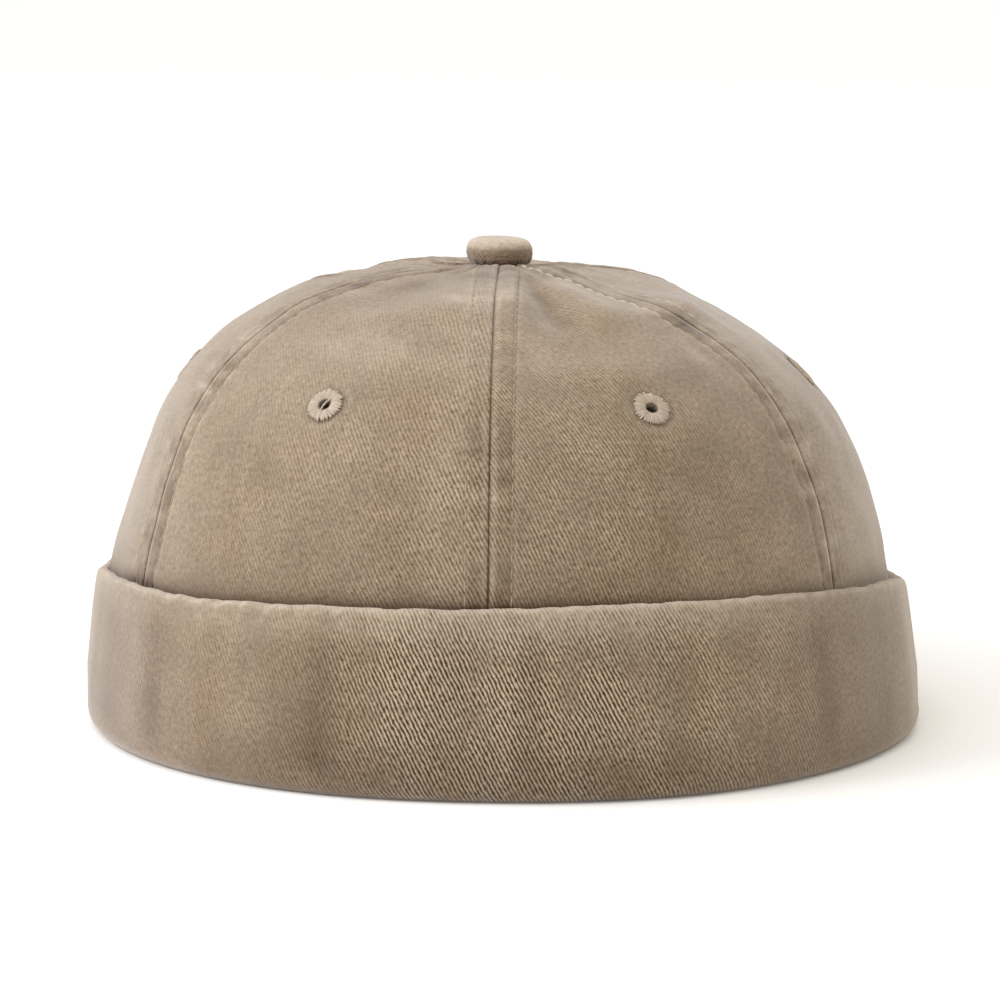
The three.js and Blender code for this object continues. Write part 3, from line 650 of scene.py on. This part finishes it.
    # pale entries lighten and dark entries darken: some are wash marks, others painted highlights and painted shade
    for spot, at, wide, tall, amount in panel["washAndPaintedLightMarks"]:
        away = np.mod(azimuth - spot + 180, 360) - 180
        there = abs(amount) * bell(away, 0, wide) * bell(upward, at, tall) * (0.7 + 0.5 * lumps(bare, 6, 7.3))
        if amount > 0:
            wornAndLit += there
        else:
            shade += there
    weave = 0.08 + 0.4 * bell(turn, 4, 28) * (1 - 0.55 * smoothStep(upward, 0.35, 0.65))
    weave *= 1 - 0.5 * smoothStep(upward, 0.7, 0.86)
    weave += 0.24 * smoothStep(np.abs(turn), 68, 95)
    marks = {"wornAndLit": np.clip(wornAndLit, 0, 1), "shade": np.clip(shade, 0, 0.95), "weave": weave}
    turned = math.radians(twill["turn"][name])
    u, v = across - width / 2, np.broadcast_to(climb, across.shape)
    uv = np.stack([u * math.cos(turned) + v * math.sin(turned), v * math.cos(turned) - u * math.sin(turned)], -1)
    piece = sheetObject(f"{name}_panel", points, uv, marks)
    kept = piece.data.attributes.new("inner", "FLOAT_VECTOR", "POINT")
    kept.data.foreach_set("vector", (inner * mm).ravel())

    # the eyelet's hole, hidden under its thread
    selectOnly(piece)
    bpy.ops.object.mode_set(mode="EDIT")
    bpy.ops.mesh.select_mode(type="FACE")
    bpy.ops.mesh.select_all(action="DESELECT")
    bpy.ops.object.mode_set(mode="OBJECT")
    for polygon in piece.data.polygons:
        polygon.select = (polygon.center / mm - Vector(seat)).length < panel["eyeletHole"]
    bpy.ops.object.mode_set(mode="EDIT")
    bpy.ops.mesh.delete(type="FACE")
    bpy.ops.object.mode_set(mode="OBJECT")
    wall = piece.modifiers.new("cloth", "SOLIDIFY")
    wall.thickness = crown["clothThickness"] * mm
    wall.offset = -1
    bpy.ops.object.modifier_apply(modifier=wall.name)
    # the second half of the points is the inside: set it back so that the panels meet there too
    mesh = piece.data
    count = len(mesh.vertices)
    places, insides = np.zeros(3 * count), np.zeros(3 * count)
    mesh.vertices.foreach_get("co", places)
    mesh.attributes["inner"].data.foreach_get("vector", insides)
    places[3 * count // 2:] = insides[3 * count // 2:]
    mesh.vertices.foreach_set("co", places)
    mesh.attributes.remove(mesh.attributes["inner"])
    mesh.update()
    finishPiece(piece, panelTwill, [f"panel_{name}"])

    k = panel["stitchColumn"]
    surface = gridNormals(points)
    stitchLines.setdefault(low, []).append((points[:, k], surface[:, k], fromTop[:, k]))
    stitchLines.setdefault(high % 6, []).append((points[:, -1 - k], surface[:, -1 - k], fromTop[:, -1 - k]))
    normal = gridNormals(crownPoint(*np.meshgrid(
        np.degrees(np.arctan2(seat[0], -seat[1])) + np.array([-1, 0, 1]),
        panel["eyeletAlong"] + np.array([-0.01, 0, 0.01]))))[1, 1]
    return Vector(seat), Vector(normal)


# Topstitching: two rows of lockstitch at each seam
stitch = {"pitch": 3.05, "length": 2.5, "width": 0.42, "height": 0.3, "arch": 0.16, "stopRadius": 8.2}


def stitchTemplate():
    bpy.ops.mesh.primitive_uv_sphere_add(segments=8, ring_count=6, radius=1)
    ball = bpy.context.active_object
    points = np.array([v.co for v in ball.data.vertices])[:, [2, 1, 0]]
    faces = [list(p.vertices)[::-1] for p in ball.data.polygons]
    bpy.data.objects.remove(ball)
    scaled = points * np.array([stitch["length"], stitch["width"], stitch["height"]]) / 2
    scaled[:, 2] -= stitch["arch"] * points[:, 0] ** 2
    return points, scaled, faces


def makeStitches(seam, name):
    ball, shape, faces = stitchTemplate()
    allPoints, allFaces, pale, uv = [], [], [], []
    for side, (line, normals, fromTop) in enumerate(stitchLines[seam]):
        run = np.concatenate([[0], np.cumsum(np.linalg.norm(np.diff(line, axis=0), axis=-1))])
        end = float(np.interp(-stitch["stopRadius"], -fromTop, run))
        count = int(end / stitch["pitch"])
        for i in range(count):
            at = (i + 0.5) * stitch["pitch"] + draw.uniform(-0.12, 0.12)
            ends = [np.array([np.interp(at + d, run, line[:, j]) for j in range(3)]) for d in (-1.1, 1.1)]
            centre = np.array([np.interp(at, run, line[:, j]) for j in range(3)])
            up = np.array([np.interp(at, run, normals[:, j]) for j in range(3)])
            ahead = (ends[1] - ends[0]) / np.linalg.norm(ends[1] - ends[0])
            aside = np.cross(up, ahead)
            slant = draw.uniform(-0.05, 0.05)
            ahead = ahead + slant * aside
            aside = np.cross(up, ahead)
            base = len(allPoints)
            for point in shape:
                allPoints.append((centre + ahead * point[0] + aside * point[1] + up * (point[2] + 0.08)) * mm)
            allFaces += [[base + v for v in f] for f in faces]
            bright = draw.random()
            upper = smoothStep(at / end, 0.62, 0.75)
            light = (0.3 * bright**2 - 0.08) * (0.4 if seam == 0 else 1)
            light += 0.9 * upper if (seam, side) in paleRows else 0
            pale += [light] * len(shape)
            uv += [(p[0] * stitch["length"] / 2, p[1] * stitch["width"] / 2) for p in ball]
    mesh = bpy.data.meshes.new(name)
    mesh.from_pydata([p.tolist() for p in allPoints], [], allFaces)
    layer = mesh.uv_layers.new(name="cloth")
    for loop in mesh.loops:
        layer.data[loop.index].uv = [c * mm for c in uv[loop.vertex_index]]
    mesh.attributes.new("pale", "FLOAT", "POINT").data.foreach_set("value", pale)
    mesh.update()
    piece = bpy.data.objects.new(name, mesh)
    bpy.context.scene.collection.objects.link(piece)
    finishPiece(piece, cottonThread)
    return piece


paleRows = {(1, 0), (1, 1)}  # the front row of the wearer's left front seam is paler near the top

# Eyelets: satin stitches over a cord, worked from the hole outwards
eyelet = {
    "hole": 1.45,
    "ringRadius": 3.7,
    "rise": 0.3,
    "strands": 58,
    "strandLength": 4.1,
    "ragged": 0.38,
    "strandWidth": 0.38,
    "strandRise": 0.48,
    "backRadius": 3.4,
    "backDepth": 1.9,
}


def strandPoints(radial, aside, low, high, height, width, sides=6, steps=8):
    rings = []
    for i in range(steps + 1):
        t = i / steps
        out = low + (high - low) * t
        up = height * math.sin(math.pi * (0.08 + 0.92 * t)) ** 0.65 - 0.25
        half = width * (0.42 + 0.2 * t) * (1 if 0 < i < steps else 0.4)
        for s in range(sides):
            a = math.tau * s / sides
            rings.append(radial * out + aside * half * math.cos(a) + Vector((0, 0, up + 0.17 * math.sin(a))))
    return rings


def makeEyelet(name, seat, normal, crossed=False):
    inner, rise = eyelet["hole"], eyelet["rise"]
    middle = (inner + eyelet["ringRadius"]) / 2
    outline = [(inner, -eyelet["backDepth"]), (eyelet["backRadius"] - 0.3, -eyelet["backDepth"]),
               (eyelet["backRadius"], -1.5), (eyelet["backRadius"] - 0.2, -1.15), (1.9, -1.1), (1.9, 0.0)]
    half = middle - inner
    outline += [(x, z * rise / half + 0.05) for x, z in arcPoints(middle, 0, half, 0, 180, 10)]
    outline += [(inner, -1.0), (inner, -eyelet["backDepth"])]
    piece = spinPiece(f"{name}_eyelet", outline, 36)
    mesh = piece.data
    points = [v.co / mm for v in mesh.vertices]
    faces = [list(p.vertices) for p in mesh.polygons]
    pale = [0.25] * len(points)
    uv = [(math.atan2(p.y, p.x) * 2.5, math.hypot(p.x, p.y) + p.z) for p in points]
    sides, steps = 6, 8
    for i in range(eyelet["strands"] + (1 if crossed else 0)):
        angle = math.tau * i / eyelet["strands"] + draw.uniform(-0.045, 0.045)
        radial, aside = Vector((math.cos(angle), math.sin(angle), 0)), Vector((-math.sin(angle), math.cos(angle), 0))
        high = eyelet["strandLength"] + draw.uniform(-0.2, 1) * eyelet["ragged"]
        low, tall = inner - 0.12 + draw.uniform(-0.1, 0.15), eyelet["strandRise"] + draw.uniform(-0.08, 0.08)
        shift = Vector((0, 0, 0))
        if i == eyelet["strands"]:  # a stray thread over the hole
            radial, aside, low, high, tall = Vector((0.34, 0.94, 0)), Vector((-0.94, 0.34, 0)), -2.3, 2.3, 0.95
            shift = Vector((0.5, -0.1, 0))
        base = len(points)
        points += [p + shift for p in strandPoints(radial, aside, low, high, tall, eyelet["strandWidth"])]
        tone = 0.22 + 0.4 * draw.random()
        for ring in range(steps):
            for s in range(sides):
                a, b = base + ring * sides + s, base + ring * sides + (s + 1) % sides
                faces.append([a, b, b + sides, a + sides])
        faces.append([base + s for s in reversed(range(sides))])
        faces.append([base + steps * sides + s for s in range(sides)])
        for ring in range(steps + 1):
            for s in range(sides):
                pale.append(tone - 0.35 * (ring in (0, steps)))
                uv.append((s * 0.12 + i, ring * 0.4))
    bpy.data.objects.remove(piece)
    turned = Vector(normal).to_track_quat("Z", "Y").to_matrix().to_4x4()
    placed = Matrix.Translation(seat) @ turned
    mesh = bpy.data.meshes.new(f"{name}_eyelet")
    mesh.from_pydata([(placed @ p) * mm for p in points], [], faces)
    layer = mesh.uv_layers.new(name="cloth")
    for loop in mesh.loops:
        layer.data[loop.index].uv = [c * mm for c in uv[loop.vertex_index]]
    mesh.attributes.new("pale", "FLOAT", "POINT").data.foreach_set("value", pale)
    piece = bpy.data.objects.new(f"{name}_eyelet", mesh)
    bpy.context.scene.collection.objects.link(piece)
    selectOnly(piece)
    bpy.ops.object.mode_set(mode="EDIT")
    bpy.ops.mesh.select_all(action="SELECT")
    bpy.ops.mesh.normals_make_consistent(inside=False)
    bpy.ops.object.mode_set(mode="OBJECT")
    finishPiece(piece, cottonThread, [f"eyelet_{name}"])
    return piece


# Button: a disc covered in the same twill, gathered underneath
button = {"radius": 7.5, "height": 7.1, "turnIn": 50, "side": 0.5, "top": 0.72, "post": 1.7,
          "clinchRadius": 4.5, "clinchThickness": 0.8, "sunk": 0.9, "steps": 96, "pleats": 14}


def buttonOutline(degrees):
    across, up = math.cos(math.radians(degrees)), math.sin(math.radians(degrees))
    return abs(across) ** button["side"], math.copysign(abs(up) ** button["top"], up)


def makeButton():
    lowest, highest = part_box("button")
    bottom, seat = lowest.z / mm, highest.z / mm - button["height"]
    clinch = bottom + button["clinchThickness"]
    seat += button["sunk"]
    tall = button["height"] - button["sunk"]
    outline = [(0, bottom), (button["clinchRadius"] - 0.3, bottom), (button["clinchRadius"], bottom + 0.3),
               (button["clinchRadius"], clinch - 0.2), (button["clinchRadius"] - 0.3, clinch),
               (button["post"], clinch), (button["post"], seat + 0.5), (4.0, seat + 0.45)]
    under = buttonOutline(-button["turnIn"])[1]
    for i in range(41):
        across, up = buttonOutline(-button["turnIn"] + (90 + button["turnIn"]) * i / 40)
        outline.append((button["radius"] * across if i < 40 else 0,
                        seat + tall * (up - under) / (1 - under)))
    piece = spinPiece("covered_button", outline, button["steps"])
    mesh = piece.data
    widest = seat - tall * under / (1 - under)
    for vertex in mesh.vertices:
        p = vertex.co / mm
        if p.z > seat - 0.1:
            radius, angle = math.hypot(p.x, p.y), math.atan2(p.y, p.x)
            lowness = min(max((widest + 1.2 - p.z) / 3.5, 0), 1)
            pleat = 0.16 * lowness * math.sin(button["pleats"] * angle + 2 * math.sin(3 * angle))
            creases = 0.07 * math.sin(5.2 * (p.z - seat) + 0.8 * math.sin(2 * angle)) * bell(p.z, widest - 0.3, 1.5)
            lump = 0.22 * noise.noise(Vector((p.x, p.y, p.z)) / 3.4)
            grow = (pleat + creases + lump) * min(radius / 3, 1)
            scale = (radius + grow) / radius if radius > 0.01 else 1
            p = Vector((p.x * scale, p.y * scale, p.z + 0.3 * lump - 0.03 * p.x))
        vertex.co = (p + Vector((crown["topOffset"], 0, 0))) * mm
    layer = mesh.uv_layers.new(name="cloth")
    wornAndLit, shade, weave = [], [], []
    for vertex in mesh.vertices:
        p = vertex.co / mm
        # the button's top painted lighter as a highlight, its lower side painted darker as shade
        weave.append(0.05 + 0.2 * float(1 - smoothStep(p.z, widest - 0.4, widest + 0.8)))
        wornAndLit.append(0.85 * smoothStep(p.z, widest + 0.2, highest.z / mm - 1.2))
        shade.append(0.42 * (1 - smoothStep(p.z, seat, widest + 1.4)))
    for loop in mesh.loops:
        p = mesh.vertices[loop.vertex_index].co / mm - Vector((crown["topOffset"], 0, 0))
        radius = math.hypot(p.x, p.y)
        run = radius + max(highest.z / mm - p.z - 1.0, 0)
        layer.data[loop.index].uv = (run * p.x / max(radius, 0.01) * mm, run * p.y / max(radius, 0.01) * mm)
    for mark, values in {"wornAndLit": wornAndLit, "shade": shade, "weave": weave}.items():
        mesh.attributes.new(mark, "FLOAT", "POINT").data.foreach_set("value", values)
    finishPiece(piece, buttonTwill, ["button"])
    return piece


makeCuff()
print("cuff made")
seats = {crown["seams"][i][2]: makePanel(i) for i in range(6)}
print("panels made")
for i, name in enumerate(["front", "left_front", "left_back", "back", "right_back", "right_front"]):
    makeStitches(i, f"{name}_seam_stitches")
print("stitches made")
for name, (seat, normal) in seats.items():
    makeEyelet(name, seat, normal, crossed=name == "front_right")
print("eyelets made")
makeButton()
print("button made")

# Studio: a pale floor, a large soft light from the upper left, a weaker one from the right
studio = {
    "floor": "#fafaf9",
    "overhead": 1.58,
    "lowLight": 0.2,
    "leftColour": (1.27, 1.3, 1.44, 1),
    "rightColour": (0.78, 0.7, 0.51, 1),
    "floorGlow": 0.08,
    "key": {"at": (-1.15, -0.3, 0.8), "size": 0.9, "power": 11.0},
    "fill": {"at": (1.2, 0.2, 0.9), "size": 0.9, "power": 0.8},
    "cameraDistance": 1000.0,
    "azimuth": 2.1,
    "elevation": 9.2,
    "roll": 0.3,
    "target": (-1.03, 0.0, 48.3),
    "lens": 156.85,
}


def makeStudio():
    bpy.ops.mesh.primitive_plane_add(size=12)
    floor = bpy.context.active_object
    floor.name = "floor"
    made = bpy.data.materials.new("matt_painted_floor")
    made.use_nodes = True
    tree = made.node_tree
    tree.nodes.clear()
    place = addNode(tree, "ShaderNodeTexCoord").outputs["Object"]
    grain = addNode(tree, "ShaderNodeTexNoise", {"Scale": 30.0, "Detail": 2.0}, {"Vector": place})
    rough = addNode(tree, "ShaderNodeMapRange", {3: 0.75, 4: 0.9}, {0: grain.outputs[0]})
    surface = addNode(tree, "ShaderNodeBsdfPrincipled", {"Base Color": toLinear(studio["floor"]),
                      "Specular IOR Level": 0.2, "Emission Color": toLinear(studio["floor"]),
                      "Emission Strength": studio["floorGlow"]}, {"Roughness": rough.outputs[0]})
    addNode(tree, "ShaderNodeOutputMaterial", links={"Surface": surface.outputs[0]})
    floor.data.materials.append(made)

    world = bpy.data.worlds.new("studio")
    world.use_nodes = True
    sky = world.node_tree  # a light ceiling that is brightest overhead
    sky.nodes.clear()
    direction = addNode(sky, "ShaderNodeTexCoord").outputs["Generated"]
    axes = addNode(sky, "ShaderNodeSeparateXYZ", links={0: direction})
    lifted = addNode(sky, "ShaderNodeMath", {"operation": "MAXIMUM", 1: 0.0}, {0: axes.outputs["Z"]})
    steep = addNode(sky, "ShaderNodeMath", {"operation": "POWER", 1: 1.5}, {0: lifted.outputs[0]})
    light = addNode(sky, "ShaderNodeMapRange", {3: studio["lowLight"], 4: studio["overhead"]},
                    {0: steep.outputs[0]})
    side = addNode(sky, "ShaderNodeMapRange", {1: -1.0, 2: 1.0}, {0: axes.outputs["X"]})
    tint = addNode(sky, "ShaderNodeMix", {"data_type": "RGBA", 6: studio["leftColour"], 7: studio["rightColour"]},
                   {0: side.outputs[0]})
    glow = addNode(sky, "ShaderNodeBackground", links={"Color": tint.outputs[2], "Strength": light.outputs[0]})
    addNode(sky, "ShaderNodeOutputWorld", links={"Surface": glow.outputs[0]})
    bpy.context.scene.world = world
    for name in ("key", "fill"):
        values = studio[name]
        light = bpy.data.lights.new(name, "AREA")
        light.energy, light.size = values["power"], values["size"]
        lamp = bpy.data.objects.new(name, light)
        lamp.location = values["at"]
        lamp.rotation_euler = (Vector((0, 0, 0.05)) - lamp.location).to_track_quat("-Z", "Y").to_euler()
        bpy.context.scene.collection.objects.link(lamp)

    azimuth, elevation = math.radians(studio["azimuth"]), math.radians(studio["elevation"])
    back = Vector((math.sin(azimuth) * math.cos(elevation), -math.cos(azimuth) * math.cos(elevation),
                   math.sin(elevation)))
    right = Vector((math.cos(azimuth), math.sin(azimuth), 0))
    turned = Matrix.Rotation(math.radians(studio["roll"]), 3, back)
    right = turned @ right
    up = back.cross(right)
    camera = bpy.data.objects.new("camera", bpy.data.cameras.new("camera"))
    camera.data.lens, camera.data.sensor_width = studio["lens"], 36
    camera.data.clip_start, camera.data.clip_end = 0.05, 50
    rotation = Matrix((right, up, back)).transposed().to_4x4()
    camera.matrix_world = Matrix.Translation((Vector(studio["target"]) + back * studio["cameraDistance"]) * mm) @ rotation
    bpy.context.scene.collection.objects.link(camera)
    bpy.context.scene.camera = camera
    bpy.context.scene.view_settings.view_transform = "Standard"


makeStudio()
print("studio made")
